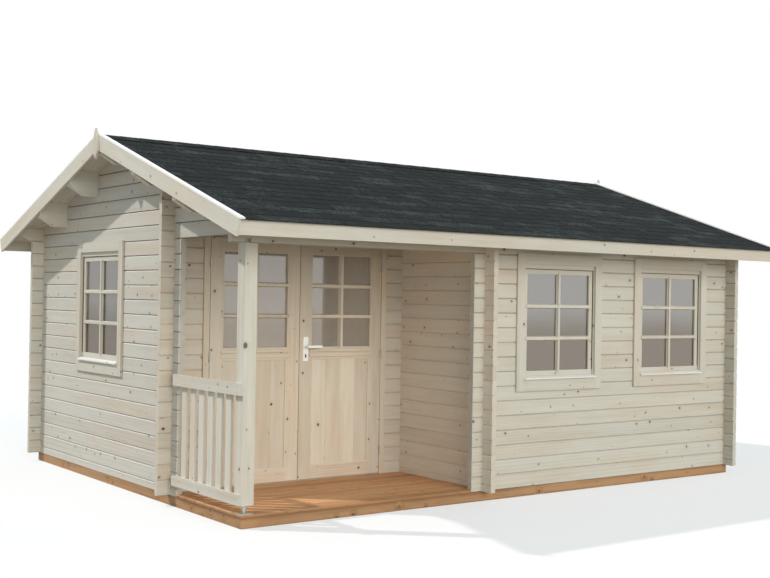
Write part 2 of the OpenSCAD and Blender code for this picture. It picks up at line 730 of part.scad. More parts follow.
module finials() {
    half = finial_w / 2;
    top = ridge_z + roof_top + cap_v + finial_rise;
    low = top - finial_h;
    right = [[half, low + finial_point], [half, top - finial_taper], [finial_tip / 2, top]];
    left = [for (k = [2 : -1 : 0]) [-right[k][0], right[k][1]]];
    color(pale_wood) for (x = [-verge_x - 2 * board_t, verge_x + board_t])
        along_x(x, x + board_t) polygon(concat([[0, low]], right, left));
}

// Porch
module porch_post() {
    color(pale_wood) span([xl, yf, deck_z + foot_h], [xl + post_w, yf + post_w, beam_z]);
}
module post_foot() {
    color(steel_grey) translate([xl + post_w / 2, yf + post_w / 2, deck_z]) {
        for (z = [0, foot_h - foot_plate_t])
            translate([-foot_plate_w / 2, -foot_plate_w / 2, z])
                cube([foot_plate_w, foot_plate_w, foot_plate_t]);
        cylinder(d = foot_rod_d, h = foot_h);
        translate([0, 0, foot_h / 2]) cylinder(d = foot_rod_d * 1.7, h = foot_rod_d * 0.8, $fn = 6);
    }
}
// Rails on the outer faces of the post and the log ends, with balusters behind them
module porch_railing() {
    y0 = yf + post_w;
    y1 = yd - log_end;
    low = deck_z + railing_gap;
    high = deck_z + railing_h;
    pitch = (y1 - y0) / (balusters + 0.5);
    color(pale_wood) {
        span([xl - rail_t, yf, high - top_rail_h], [xl, y1 + rail_lap, high]);
        span([xl - rail_t, yf, low], [xl, y1 + rail_lap, low + low_rail_h]);
        for (k = [0 : balusters - 1]) translate([xl, y0 + (k + 0.75) * pitch - baluster_w / 2, 0])
            span([0, 0, low + baluster_short], [baluster_t, baluster_w, high - baluster_short]);
    }
}

base_bearers();
floor_joists();
room_floor();
porch_deck();
front_wall_lower();
front_wall_piers();
front_beam();
back_wall();
eaves_logs();
left_wall_lower();
left_wall_piers();
left_gable();
right_wall();
right_gable();
porch_side_wall();
door_wall_piers();
over_door_logs();
front_window_trims();
front_window_frames();
front_window_glass();
gable_window_trim();
gable_window_frame();
gable_window_glass();
door_frame();
door_trim();
hinge_pins();
left_door_leaf();
left_door_glass();
left_door_hinges();
right_door_leaf();
right_door_glass();
right_door_hinges();
lock_plates();
door_lever();
purlins();
roof_boards();
roof_covering();
barge_boards();
verge_caps();
eaves_fascias();
finials();
porch_post();
post_foot();
porch_railing();
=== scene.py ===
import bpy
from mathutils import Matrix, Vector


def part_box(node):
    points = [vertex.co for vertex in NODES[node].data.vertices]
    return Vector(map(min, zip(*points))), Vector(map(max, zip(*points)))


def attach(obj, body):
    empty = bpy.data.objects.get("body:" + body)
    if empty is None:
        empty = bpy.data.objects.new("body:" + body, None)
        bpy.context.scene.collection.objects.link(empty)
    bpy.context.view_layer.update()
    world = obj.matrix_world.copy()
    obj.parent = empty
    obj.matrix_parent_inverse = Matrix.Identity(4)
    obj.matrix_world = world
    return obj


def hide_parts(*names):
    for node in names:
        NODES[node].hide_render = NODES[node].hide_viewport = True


bl_info = {
    "name": "Log cabin with a corner porch",
    "version": (1, 0, 0),
    "blender": (4, 5, 0),
    "location": "View3D > Sidebar > Cabin",
    "description": "Dresses the cabin's frame with timber, shingles, boards, glazing bars, fittings and a plain stage",
    "category": "Object",
}

import math

import bmesh
import bpy
from mathutils import Matrix, Vector

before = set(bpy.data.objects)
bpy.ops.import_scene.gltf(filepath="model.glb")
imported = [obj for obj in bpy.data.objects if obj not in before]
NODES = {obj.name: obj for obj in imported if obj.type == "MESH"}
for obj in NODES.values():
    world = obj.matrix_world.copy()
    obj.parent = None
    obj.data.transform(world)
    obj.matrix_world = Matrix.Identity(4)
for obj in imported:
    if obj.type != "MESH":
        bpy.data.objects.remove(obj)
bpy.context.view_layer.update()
X, Y, Z = 0, 1, 2
AXES = (("x", X), ("y", Y), ("z", Z))
FAR = 100.0  # m, past everything


# Properties

def length(name, description, default):
    return bpy.props.FloatProperty(name=name, description=description, default=default, min=0, unit="LENGTH",
                                   precision=4)


def colour(name, description, default):
    return bpy.props.FloatVectorProperty(name=name, description=description, default=default, size=3, min=0, max=1,
                                         subtype="COLOR")


class CabinSizes(bpy.types.PropertyGroup):
    """Sizes of what is laid on the frame."""
    roof_pitch: bpy.props.FloatProperty(name="Roof pitch", description="Slope of the roof", default=math.radians(18.4),
                                        subtype="ANGLE")
    log_height: length("Log height", "Height of one log course", 0.114)
    base_height: length("Base height", "Top of the bearers", 0.074)
    shingle_row: length("Shingle row", "Height of a shingle row that shows, in plan", 0.1338)
    shingle_tab: length("Shingle tab", "Width of one shingle tab", 0.3261)
    shingle_slot: length("Shingle slot", "Gap between two tabs", 0.007)
    roof_board: length("Roof board", "Width of a roof board", 0.0924)
    deck_board: length("Deck board", "Width of a deck board with its gap", 0.1315)
    deck_gap: length("Deck gap", "Gap between deck boards", 0.006)
    floor_board: length("Floor board", "Width of a floor board", 0.114)
    sash: length("Sash", "Thickness of a window sash", 0.032)
    glazing_bar: length("Glazing bar", "Width of a glazing bar", 0.024)
    bar_lap: length("Bar lap", "Lap of a glazing bar on the sash", 0.015)
    bar_foot: length("Bar foot", "Width of a glazing bar at the glass", 0.036)
    bar_depth: length("Bar depth", "Thickness of a glazing bar", 0.009)
    panel_boards: bpy.props.IntProperty(name="Panel boards", description="Upright boards in a door panel", default=4)


class CabinColours(bpy.types.PropertyGroup):
    """Colours of the cabin's finishes."""
    sapwood: colour("Sapwood", "Pale part of the planed softwood", (0.635, 0.610, 0.540))
    latewood: colour("Latewood", "Growth lines of the planed softwood", (0.520, 0.455, 0.350))
    # the knots' colour, also used for the painted shade in the groove under each log
    knot: colour("Knot", "Knots of the planed softwood", (0.075, 0.050, 0.034))
    # painted highlight: the pale bevel on top of each log, for the light it catches
    bevel: colour("Bevel", "Planed edge on top of a log", (0.86, 0.85, 0.80))
    brown_pale: colour("Brown timber", "Pale part of the brown treated timber", (0.540, 0.292, 0.142))
    brown_dark: colour("Brown timber lines", "Growth lines of the brown treated timber", (0.345, 0.168, 0.076))
    brown_knot: colour("Brown timber knots", "Knots of the brown treated timber", (0.150, 0.078, 0.040))
    shingle: colour("Shingle", "Middle tone of the shingle granules", (0.0090, 0.0122, 0.0135))
    shingle_light: colour("Shingle light", "Light granules", (0.054, 0.069, 0.068))
    # dark granules, and the colour of the painted shade under each row's overlap
    shingle_dark_and_shade: colour("Shingle dark", "Dark granules", (0.006, 0.008, 0.009))
    zinc: colour("Zinc", "Zinc plated steel", (0.50, 0.49, 0.46))
    fitting: colour("Fitting", "Satin door fittings", (0.80, 0.79, 0.75))
    pane: colour("Pane", "Tint of the panes", (0.70, 0.71, 0.70))
    base_tint: colour("Base tint", "Tint of the bearers against the deck", (0.90, 0.97, 1.0))
    # the caps' colours also go on each window sill, where their paleness is partly a painted highlight
    cap_pale: colour("Cap", "Pale part of the verge caps", (0.86, 0.86, 0.84))
    cap_line: colour("Cap lines", "Growth lines of the verge caps", (0.76, 0.75, 0.72))
    # warmer and lighter than the logs: partly the doors' yellower wood, partly painted warm bounce light of the porch
    door_tint: colour("Door tint", "Tint of the doors' timber against the logs", (1.0, 0.95, 0.905))
    door_light: bpy.props.FloatProperty(name="Door lightness", default=1.10, min=0,
                                        description="Lightness of the doors' timber against the logs")
    mirror: colour("Mirror", "What the panes mirror", (0.60, 0.585, 0.565))
    # painted reflection of the ground on the panes' lower part
    painted_low_reflection: colour("Mirror low", "What the panes mirror near the ground", (0.44, 0.39, 0.335))
    # the film's colour: dust, and on the door panes mostly a painted reflection of the porch's warm walls
    dust: colour("Dust", "Film on the panes", (0.56, 0.50, 0.43))
    ground: colour("Ground", "Plain pale floor", (0.86, 0.86, 0.855))
    bounce: colour("Ground bounce", "Floor as it lights the walls", (0.345, 0.315, 0.275))


# Node graphs

class Socket:
    """An output in a node tree. Sums with it add Math nodes to the tree."""

    def __init__(self, graph, output):
        self.graph, self.output = graph, output

    def math(self, operation, *terms, **settings):
        return self.graph.node("ShaderNodeMath", {"operation": operation, **settings}, dict(enumerate(terms)))

    def __add__(self, other): return self.math("ADD", self, other)
    def __radd__(self, other): return self.math("ADD", other, self)
    def __sub__(self, other): return self.math("SUBTRACT", self, other)
    def __rsub__(self, other): return self.math("SUBTRACT", other, self)
    def __mul__(self, other): return self.math("MULTIPLY", self, other)
    def __rmul__(self, other): return self.math("MULTIPLY", other, self)
    def __truediv__(self, other): return self.math("DIVIDE", self, other)
    def __lt__(self, other): return self.math("LESS_THAN", self, other)
    def __abs__(self): return self.math("ABSOLUTE", self)
    def floor(self): return self.math("FLOOR", self)
    def fraction(self): return self.math("FRACT", self)
    def root(self): return self.math("SQRT", self)
    def clipped(self): return self.math("ADD", self, 0.0, use_clamp=True)

    def ramp(self, low, high):
        """Smooth step from 0 at low to 1 at high."""
        return self.graph.node("ShaderNodeMapRange", {"interpolation_type": "SMOOTHSTEP"}, {0: self, 1: low, 2: high})


class Graph:
    """A node tree that is written as expressions."""

    def __init__(self, tree):
        self.tree = tree

    def node(self, kind, settings=None, sockets=None, out=0):
        made = self.tree.nodes.new(kind)
        for key, value in (settings or {}).items():
            setattr(made, key, value)
        for key, value in (sockets or {}).items():
            if isinstance(value, Socket):
                self.tree.links.new(value.output, made.inputs[key])
            else:
                made.inputs[key].default_value = value
        return Socket(self, made.outputs[out])

    def xyz(self, vector):
        return [self.node("ShaderNodeSeparateXYZ", None, {0: vector}, axis) for axis in (X, Y, Z)]

    def vector(self, x, y, z):
        return self.node("ShaderNodeCombineXYZ", None, {0: x, 1: y, 2: z})

    def noise(self, vector, scale=1.0, detail=2.0, rough=0.5):
        return self.node("ShaderNodeTexNoise", None,
                         {"Vector": vector, "Scale": scale, "Detail": detail, "Roughness": rough})

    def mix(self, share, a, b, blend="MIX"):
        """Mixes two colours."""
        a, b = (c if isinstance(c, Socket) else (*c, 1) for c in (a, b))
        return self.node("ShaderNodeMix", {"data_type": "RGBA", "blend_type": blend}, {0: share, 6: a, 7: b}, 2)

    def grey(self, value):
        """A value as a grey colour."""
        return self.node("ShaderNodeCombineColor", None, {0: value, 1: value, 2: value})

    def coords(self, kind="Object"):
        return self.node("ShaderNodeTexCoord", out=kind)

    def seen(self):
        """1 for rays that show a surface, straight, mirrored or through a pane, and 0 for rays that light others."""
        ray = self.tree.nodes.new("ShaderNodeLightPath")
        kinds = [Socket(self, ray.outputs["Is " + n + " Ray"]) for n in ("Camera", "Glossy", "Transmission")]
        return (kinds[0] + kinds[1] + kinds[2]).clipped()

    def principled(self, sockets):
        return self.node("ShaderNodeBsdfPrincipled", None, sockets)

    def bump(self, height, distance, strength):
        return self.node("ShaderNodeBump", None, {"Strength": strength, "Distance": distance, "Height": height})


def finish(name):
    """A new material with an empty tree, and its graph."""
    made = bpy.data.materials.new(name)
    made.use_nodes = True
    made.node_tree.nodes.clear()
    return made, Graph(made.node_tree)


def once(make):
    """Lets a function that makes a named material make it once."""
    def kept(name, *rest, **options):
        return bpy.data.materials.get(name) or make(name, *rest, **options)
    return kept


def surface(graph, shader, kind="Material"):
    """Ends a tree with a shader."""
    graph.tree.links.new(shader.output, graph.tree.nodes.new("ShaderNodeOutput" + kind).inputs["Surface"])


def colours():
    return bpy.context.scene.cabin_colours


def sizes():
    return bpy.context.scene.cabin_sizes


# Materials

SOFTWOOD = ("sapwood", "latewood", "knot")
BROWN = ("brown_pale", "brown_dark", "brown_knot")
CAPS = ("cap_pale", "cap_line", "knot")


@once
def timber(name, along, family=SOFTWOOD, course=None, toned=False, slope=0.0, rails=None, knots=0.42,
           tint=(1.0, 1.0, 1.0), spread=0.14, knot_size=1.0, grain=1.15, joint=(0.0, 0.4), ends=0.06):
    """Planed timber with its grain along an axis, in a family of three colours. course is the lowest log's bottom and
    the log height, toned reads each board's own tone, slope follows the roof, rails is the middle and half width of
    cross rails, knots is the share of cells that hold knots, spread is how far the boards' tones lie apart, grain how
    strong the growth lines are, joint how strong the painted highlight on a log's upward bevel and the painted shade
    in the groove under it are, and ends how much darker the end grain is."""
    made, g = finish(name)
    place = g.xyz(g.coords())
    a, v, w = place[along], *[place[k] for k in (Z, X, Y) if k != along]
    if slope:
        v = v + abs(place[Y]) * slope
    if rails:
        cross = abs(place[X] - rails[0]) < rails[1]
        a, v = place[Z] + cross * (place[X] - place[Z]), place[X] + cross * (place[Z] - place[X])
    if course:
        seed = ((place[Z] - course[0]) / course[1]).floor()
        seed = g.node("ShaderNodeTexWhiteNoise", {"noise_dimensions": "1D"}, {"W": seed + 0.5}, "Value")
    elif toned:
        seed = g.node("ShaderNodeAttribute", {"attribute_name": "tone"}, None, "Fac")
    else:
        seed = tone_of(len(name), ord(name[0]), ord(name[-1]))
    a = a + seed * 41.0

    normal = g.xyz(g.coords("Normal"))
    end = abs(normal[along]).ramp(0.75, 0.95)

    # knots: one point in a cell, on a share of the cells, mostly small, none on the end grain
    cells = 9.0  # to a metre
    near = {"Vector": g.vector(a * 0.8, (v - w if along == Z else v + w) + seed * 7.0, 0.0), "Scale": cells}
    spot = g.node("ShaderNodeTexVoronoi", {"voronoi_dimensions": "2D"}, near, "Distance") / cells
    lot = g.xyz(g.node("ShaderNodeTexVoronoi", {"voronoi_dimensions": "2D"}, near, "Color"))
    has = (lot[0] < knots) * (1.0 - end)
    size = (0.0030 + lot[1] * lot[1] * 0.0092) * knot_size
    core = has * (spot / size).ramp(1.05, 0.70)
    halo = has * (spot / size).ramp(3.4, 0.9)

    # growth rings about a pith beside the board, which wander along it
    wander = g.noise(g.vector(a * 0.55, v * 5.0, w * 5.0), 1.0, 2.0) - 0.5
    across = v + 0.09 + seed * 0.1 + wander * 0.035
    into = w + 0.05 + seed * 0.06
    radius = (across * across + into * into).root() + halo * 0.006
    ring_width = 0.0062
    ring = (radius / ring_width).fraction()
    late = ring.ramp(0.25, 0.95) * ring.ramp(1.0, 0.95)
    streak = g.noise(g.vector(a * 0.5, v * 26.0, w * 26.0), 1.0, 3.0, 0.6)
    fibre = g.noise(g.vector(a * 9.0, v * 420.0, w * 420.0), 1.0, 2.0)

    pale, dark, spot_colour = [tuple(c * t for c, t in zip(getattr(colours(), n), tint)) for n in family]
    figure = g.noise(g.vector(a * 2.2, v * 15.0, w * 15.0), 1.0, 4.0, 0.6) - 0.5
    share = late * (0.26 + 0.10 * end) + (streak - 0.42) * 0.80 + wander * 0.5 + figure * 0.85
    share = (share * grain).clipped()
    shade = g.mix(share, pale, dark)
    level = (0.98 - spread / 2 + seed * spread + (fibre - 0.5) * 0.10) * (1.0 - ends * end)
    shade = g.mix(1.0, shade, g.grey(level), "MULTIPLY")
    blush = g.noise(g.vector(a * 0.7, v * 2.6 + seed * 9.0, w * 2.6), 1.0, 2.0)
    shade = g.mix(blush.ramp(0.42, 0.68) * (1.0 - end), shade, g.mix(1.0, shade, (1.0, 0.945, 0.905), "MULTIPLY"))
    if course:
        level = ((place[Z] - course[0]) / course[1]).fraction()
        # painted highlight: the upward bevel at each log's top is paler
        shade = g.mix(normal[Z].ramp(0.3, 0.6) * level.ramp(0.85, 0.90) * joint[0], shade, colours().bevel)
        # painted shade: the groove under each log is darker, in the knots' colour
        shade = g.mix(level.ramp(0.045, 0.038) * (1.0 - end) * joint[1], shade, colours().knot)
    shade = g.mix(halo * 0.35, shade, dark)
    shade = g.mix(core * (0.62 + lot[2] * 0.36), shade, spot_colour)
    lift = late * -0.35 + fibre * 0.5 + core * 0.6
    surface(g, g.principled({
        "Base Color": shade, "Roughness": 0.60 + late * 0.10 - core * 0.12, "Specular IOR Level": 0.28,
        "Normal": g.bump(lift, 0.0006, 0.5)}))
    return made


def base_timber(letter, axis):
    """Brown timber of the base and of the deck boards' edges."""
    return timber("brown_timber_" + letter, axis, BROWN, tint=tuple(colours().base_tint), knots=0.50, knot_size=1.35,
                  grain=2.6)


def shingle_finish(edge, row):
    """Bitumen shingles with coloured granules. edge is the eaves' distance from the ridge and row a row's height, both
    in plan; a row is darker, as painted shade, where the next one lies over it."""
    made, g = finish("granular_shingle")
    place = g.coords()
    tone = g.node("ShaderNodeAttribute", {"attribute_name": "tone"}, None, "Fac")
    grain = g.xyz(g.node("ShaderNodeTexVoronoi", None, {"Vector": place, "Scale": 330.0}, "Color"))
    at = g.xyz(place)
    patch = g.noise(g.vector(at[X] * 4.4, at[Y] * 6.0, at[Z]), 1.0, 4.0, 0.65)
    cloud = g.noise(g.vector(at[X] * 1.1, at[Y] * 1.5, at[Z]), 1.0, 3.0)
    speck = g.noise(g.vector(at[X] * 60.0, at[Y] * 26.0, at[Z]), 1.0, 3.0, 0.7)
    c = colours()
    share = (tone * 0.85 + (patch - 0.5) * 2.6 + (cloud - 0.5) * 0.8 + (speck - 0.5) * 3.6 - 0.52).clipped()
    shade = g.mix(share, c.shingle, c.shingle_light)
    # painted shade: each row is darker just below where the next row lies over it
    painted_row_shade = ((edge - abs(at[Y])) / row).fraction().ramp(0.80, 1.0)
    shade = g.mix(painted_row_shade * 0.36, shade, c.shingle_dark_and_shade)
    shade = g.mix(grain[0].ramp(0.62, 0.95) * (0.10 + share * 0.75), shade, c.shingle_light)
    shade = g.mix(grain[1].ramp(0.55, 0.95) * 0.80, shade, c.shingle_dark_and_shade)
    surface(g, g.principled({
        "Base Color": shade, "Roughness": 0.90 + grain[2] * 0.08, "Specular IOR Level": 0.10,
        "Normal": g.bump(grain[2] + patch, 0.0012, 0.7)}))
    return made


@once
def metal(name, tint, rough, polish):
    """Plated or anodised metal with faint cloudy wear. polish is the metallic share."""
    made, g = finish(name)
    place = g.coords()
    cloud = g.noise(place, 60.0, 4.0, 0.6)
    brushed = g.noise(g.vector(*[p * s for p, s in zip(g.xyz(place), (900.0, 900.0, 30.0))]), 1.0, 2.0)
    shade = g.mix((cloud - 0.35).clipped() * 0.35, tint, [t * 0.72 for t in tint])
    surface(g, g.principled({
        "Base Color": shade, "Metallic": polish, "Roughness": rough + cloud * 0.12 + brushed * 0.06,
        "Normal": g.bump(brushed, 0.0002, 0.3)}))
    return made


@once
def dark_finish(name):
    """The dark parts of a keyhole, and the windows' dark sealing strips, painted shade in the sash corners."""
    made, g = finish(name)
    dust = g.noise(g.coords(), 900.0, 2.0)
    surface(g, g.principled({
        "Base Color": g.mix(dust, (0.010, 0.009, 0.008), (0.035, 0.032, 0.028)), "Roughness": 0.8 + dust * 0.1}))
    return made


def pane_finish(name, share, film):
    """Clear panes: see-through, with a share that mirrors, darker near the ground as a painted reflection of it, and a
    film of dust, which where thick is mostly a painted reflection of the porch's warm walls.
    """
    made, g = finish(name)
    place = g.coords()
    ripple = g.noise(place, 3.0, 1.0)
    smear = g.noise(place, 14.0, 5.0, 0.65)
    # painted reflection: the mirrored colour turns darker and browner towards the ground
    low = (g.xyz(place)[Z] + ripple * 0.12).ramp(1.56, 1.30)
    slant = g.node("ShaderNodeLayerWeight", None, {"Blend": 0.30}, "Facing")
    clear = g.node("ShaderNodeBsdfTransparent", None, {"Color": (*colours().pane, 1)})
    shine = g.principled({
        "Base Color": g.mix(low, colours().mirror, colours().painted_low_reflection), "Metallic": 1.0,
        "Roughness": 0.03 + ripple * 0.02, "Normal": g.bump(ripple, 0.002, 0.05)})
    # the film: dust, and where thick a painted reflection
    dust = g.principled({
        "Base Color": g.mix(smear, colours().dust, [d * 0.9 for d in colours().dust]), "Roughness": 0.8})
    glass = g.node("ShaderNodeMixShader", None, {0: (share + slant * 0.10).clipped(), 1: clear, 2: shine})
    surface(g, g.node("ShaderNodeMixShader", None, {0: film * (0.8 + smear * 0.4), 1: glass, 2: dust}))
    return made


# Geometry

def solid(bm, outline, low, high, axis, chamfer=0.0, tone=0.5):
    """Adds a prism to bm: an outline of pairs across an axis, from low to high along it, with its edges chamfered."""
    u, v = [k for k in (X, Y, Z) if k != axis]
    layer = bm.verts.layers.float.get("tone") or bm.verts.layers.float.new("tone")
    rings = []
    for level in (low, high):
        ring = []
        for p in outline:
            place = [0.0, 0.0, 0.0]
            place[u], place[v], place[axis] = p[0], p[1], level
            ring.append(bm.verts.new(place))
        rings.append(ring)
    count = len(outline)
    faces = [bm.faces.new(rings[0][::-1]), bm.faces.new(rings[1])]
    faces += [bm.faces.new((rings[0][k], rings[0][(k + 1) % count], rings[1][(k + 1) % count], rings[1][k]))
              for k in range(count)]
    bmesh.ops.recalc_face_normals(bm, faces=faces)
    verts = rings[0] + rings[1]
    if chamfer:
        edges = list(dict.fromkeys(e for f in faces for e in f.edges))
        made = bmesh.ops.bevel(bm, geom=edges, offset=chamfer, segments=1, affect="EDGES", profile=0.5)
        verts = made["verts"]
    for vert in verts:
        vert[layer] = tone


def block(bm, low, high, chamfer=0.0, tone=0.5):
    """Adds a box between two corners."""
    corners = [(low[X], low[Y]), (high[X], low[Y]), (high[X], high[Y]), (low[X], high[Y])]
    solid(bm, corners, low[Z], high[Z], Z, chamfer, tone)


def rod(bm, centre, radius, low, high, axis, sides=20):
    """Adds a round bar about an axis through a point."""
    u, v = [k for k in (X, Y, Z) if k != axis]
    turn = [2 * math.pi * k / sides for k in range(sides)]
    solid(bm, [(centre[u] + radius * math.cos(t), centre[v] + radius * math.sin(t)) for t in turn], low, high, axis)


def tone_of(*numbers):
    """A fixed tone from 0 to 1 for a board."""
    return math.modf(abs(math.sin(sum(n * s for n, s in zip(numbers, (12.9898, 78.233, 37.719)))) * 43758.5453))[0]


def mesh_from(name, bm):
    mesh = bpy.data.meshes.new(name)
    bm.to_mesh(mesh)
    bm.free()
    return mesh


def piece(name, meshes, body, finishes, replaces=()):
    """Makes one piece of meshes, drawn or laid, and lets it ride on a body."""
    objects = []
    for mesh in meshes:
        if isinstance(mesh, bmesh.types.BMesh):
            mesh = mesh_from(name, mesh)
        if len(mesh.materials):
            mesh.materials.clear()
        for f in finishes:
            mesh.materials.append(f)
        objects.append(bpy.data.objects.new(name, mesh))
        bpy.context.scene.collection.objects.link(objects[-1])
    first = objects[0]
    if len(objects) > 1:
        with bpy.context.temp_override(active_object=first, selected_objects=objects,
                                       selected_editable_objects=objects):
            bpy.ops.object.join()
    first.name = first.data.name = name
    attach(first, body)
    if replaces:
        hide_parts(*replaces)


def laid_rows_tree():
    """Lays copies of one piece in rows, each row shifted and each copy with its own tone, cut at the outer edges."""
    found = bpy.data.node_groups.get("laid_rows")
    if found:
        return found
    tree = bpy.data.node_groups.new("laid_rows", "GeometryNodeTree")
    wanted = [("Piece", "Object"), ("Columns", "Int"), ("Rows", "Int"), ("Column pitch", "Float"),
              ("Row pitch", "Float"), ("Stagger", "Float"), ("Low X", "Float"), ("High X", "Float"),
              ("High Y", "Float"), ("Play", "Float"), ("Seed", "Int"), ("Finish", "Material")]
    for name, kind in wanted:
        tree.interface.new_socket(name, in_out="INPUT", socket_type="NodeSocket" + kind)
    tree.interface.new_socket("Geometry", in_out="OUTPUT", socket_type="NodeSocketGeometry")
    g = Graph(tree)
    source = tree.nodes.new("NodeGroupInput")
    given = {name: Socket(g, source.outputs[name]) for name, _ in wanted}
    columns, rows = given["Columns"], given["Rows"]
    across, along = (columns - 1) * given["Column pitch"], (rows - 1) * given["Row pitch"]
    grid = g.node("GeometryNodeMeshGrid", None,
                  {"Size X": across, "Size Y": along, "Vertices X": columns, "Vertices Y": rows})
    at = g.xyz(g.node("GeometryNodeInputPosition"))
    row = ((at[Y] + along * 0.5) / given["Row pitch"] + 0.5).floor()
    odd = row.math("FLOORED_MODULO", row, 2.0)
    play = [g.node("FunctionNodeRandomValue", {"data_type": "FLOAT"},
                   {2: given["Play"] * -1.0, 3: given["Play"], "Seed": given["Seed"] + k}, 1) for k in (1, 2)]
    place = g.vector(at[X] + across * 0.5 + odd * given["Stagger"] * given["Column pitch"] + play[0],
                     at[Y] + along * 0.5 + play[1], 0.0)
    points = g.node("GeometryNodeSetPosition", None, {"Geometry": grid, "Position": place})
    shape = g.node("GeometryNodeObjectInfo", {"transform_space": "ORIGINAL"}, {"Object": given["Piece"]}, "Geometry")
    # a tone of the piece's own would hide the copies' tones
    shape = g.node("GeometryNodeRemoveAttribute", None, {"Geometry": shape, "Name": "tone"})
    copies = g.node("GeometryNodeInstanceOnPoints", None, {"Points": points, "Instance": shape})
    tone = g.node("FunctionNodeRandomValue", {"data_type": "FLOAT"}, {2: 0.0, 3: 1.0, "Seed": given["Seed"]}, 1)
    copies = g.node("GeometryNodeStoreNamedAttribute", {"data_type": "FLOAT", "domain": "INSTANCE"},
                    {"Geometry": copies, "Name": "tone", "Value": tone})
    made = g.node("GeometryNodeRealizeInstances", None, {"Geometry": copies})
    low = g.vector(given["Low X"], -FAR, -FAR)
    high = g.vector(given["High X"], given["High Y"], FAR)
    inside = g.node("ShaderNodeVectorMath", {"operation": "MAXIMUM"}, {0: g.node("GeometryNodeInputPosition"), 1: low})
    inside = g.node("ShaderNodeVectorMath", {"operation": "MINIMUM"}, {0: inside, 1: high})
    made = g.node("GeometryNodeSetPosition", None, {"Geometry": made, "Position": inside})
    made = g.node("GeometryNodeSetMaterial", None, {"Geometry": made, "Material": given["Finish"]})
    tree.links.new(made.output, tree.nodes.new("NodeGroupOutput").inputs[0])
    return tree


def laid_rows(shape, columns, rows, pitch, look, place, stagger=0.0, cut=(-FAR, FAR, FAR), play=0.0, seed=1):
    """A plain mesh of copies of a shape in rows, cut at the low x, high x and high y of cut and put in place by a
    matrix."""
    source = bpy.data.objects.new("laid_piece", shape)
    carrier = bpy.data.objects.new("laid_rows", bpy.data.meshes.new("laid_rows"))
    for o in (source, carrier):
        bpy.context.scene.collection.objects.link(o)
    tree = laid_rows_tree()
    modifier = carrier.modifiers.new("rows", "NODES")
    modifier.node_group = tree
    values = {"Piece": source, "Columns": columns, "Rows": rows, "Column pitch": pitch[0], "Row pitch": pitch[1],
              "Stagger": stagger, "Low X": cut[0], "High X": cut[1], "High Y": cut[2], "Play": play, "Seed": seed,
              "Finish": look}
    for item in tree.interface.items_tree:
        if item.in_out == "INPUT":
            modifier[item.identifier] = values[item.name]
    depsgraph = bpy.context.evaluated_depsgraph_get()
    mesh = bpy.data.meshes.new_from_object(carrier.evaluated_get(depsgraph), preserve_all_data_layers=True,
                                           depsgraph=depsgraph)
    carrier.modifiers.remove(modifier)
    for o in (source, carrier):
        bpy.data.objects.remove(o)
    if not len(mesh.polygons):
        raise RuntimeError("no copies were laid of " + shape.name)
    mesh.transform(place)
    if place.determinant() < 0:
        mesh.flip_normals()
    return mesh


def screw_head(radius, height, sides=12):
    """A pan head with a round recess, standing on z = 0."""
    bm = bmesh.new()
    layer = bm.verts.layers.float.new("tone")
    rings = []
    for r, z in ((1.0, 0.0), (1.0, 0.45), (0.80, 1.0), (0.40, 1.0), (0.32, 0.40)):
        turn = [2 * math.pi * k / sides for k in range(sides)]
        rings.append([bm.verts.new((radius * r * math.cos(t), radius * r * math.sin(t), height * z)) for t in turn])
    for low, high in zip(rings, rings[1:]):
        for k in range(sides):
            bm.faces.new((low[k], low[(k + 1) % sides], high[(k + 1) % sides], high[k]))
    bm.faces.new(rings[0][::-1])
    bm.faces.new(rings[-1])
    for v in bm.verts:
        v[layer] = 0.5
    return mesh_from("screw_head", bm)


def islands(mesh):
    """For each face, the corners of the box round the solid that it belongs to."""
    parent = {}

    def top(key):
        while parent[key] != key:
            parent[key] = parent[parent[key]]
            key = parent[key]
        return key

    keys = [tuple(round(c, 5) for c in v.co) for v in mesh.vertices]
    for key in keys:
        parent.setdefault(key, key)
    for face in mesh.polygons:
        first = top(keys[face.vertices[0]])
        for other in face.vertices[1:]:
            parent[top(keys[other])] = first
    boxes = {}
    for key in set(keys):
        low, high = boxes.setdefault(top(key), (list(key), list(key)))
        for k in (X, Y, Z):
            low[k], high[k] = min(low[k], key[k]), max(high[k], key[k])
    return [boxes[top(keys[face.vertices[0]])] for face in mesh.polygons]


def dress(node, *finishes):
    """Gives a CAD node its finishes."""
    mesh = NODES[node].data
    mesh.materials.clear()
    for f in finishes:
        mesh.materials.append(f)
    return mesh


def plain(look, *nodes):
    """Gives CAD nodes one finish."""
    for node in nodes:
        dress(node, look)


def grain_by_solid(node, finishes, slot_of=None):
    """Gives each solid of a CAD node the finish whose grain runs along its longest side, unless slot_of picks one from
    a face and the sides of its solid."""
    mesh = dress(node, *finishes)
    for face, (low, high) in zip(mesh.polygons, islands(mesh)):
        spans = [h - l for l, h in zip(low, high)]
        picked = slot_of(face, spans) if slot_of else None
        face.material_index = spans.index(max(spans)) if picked is None else picked


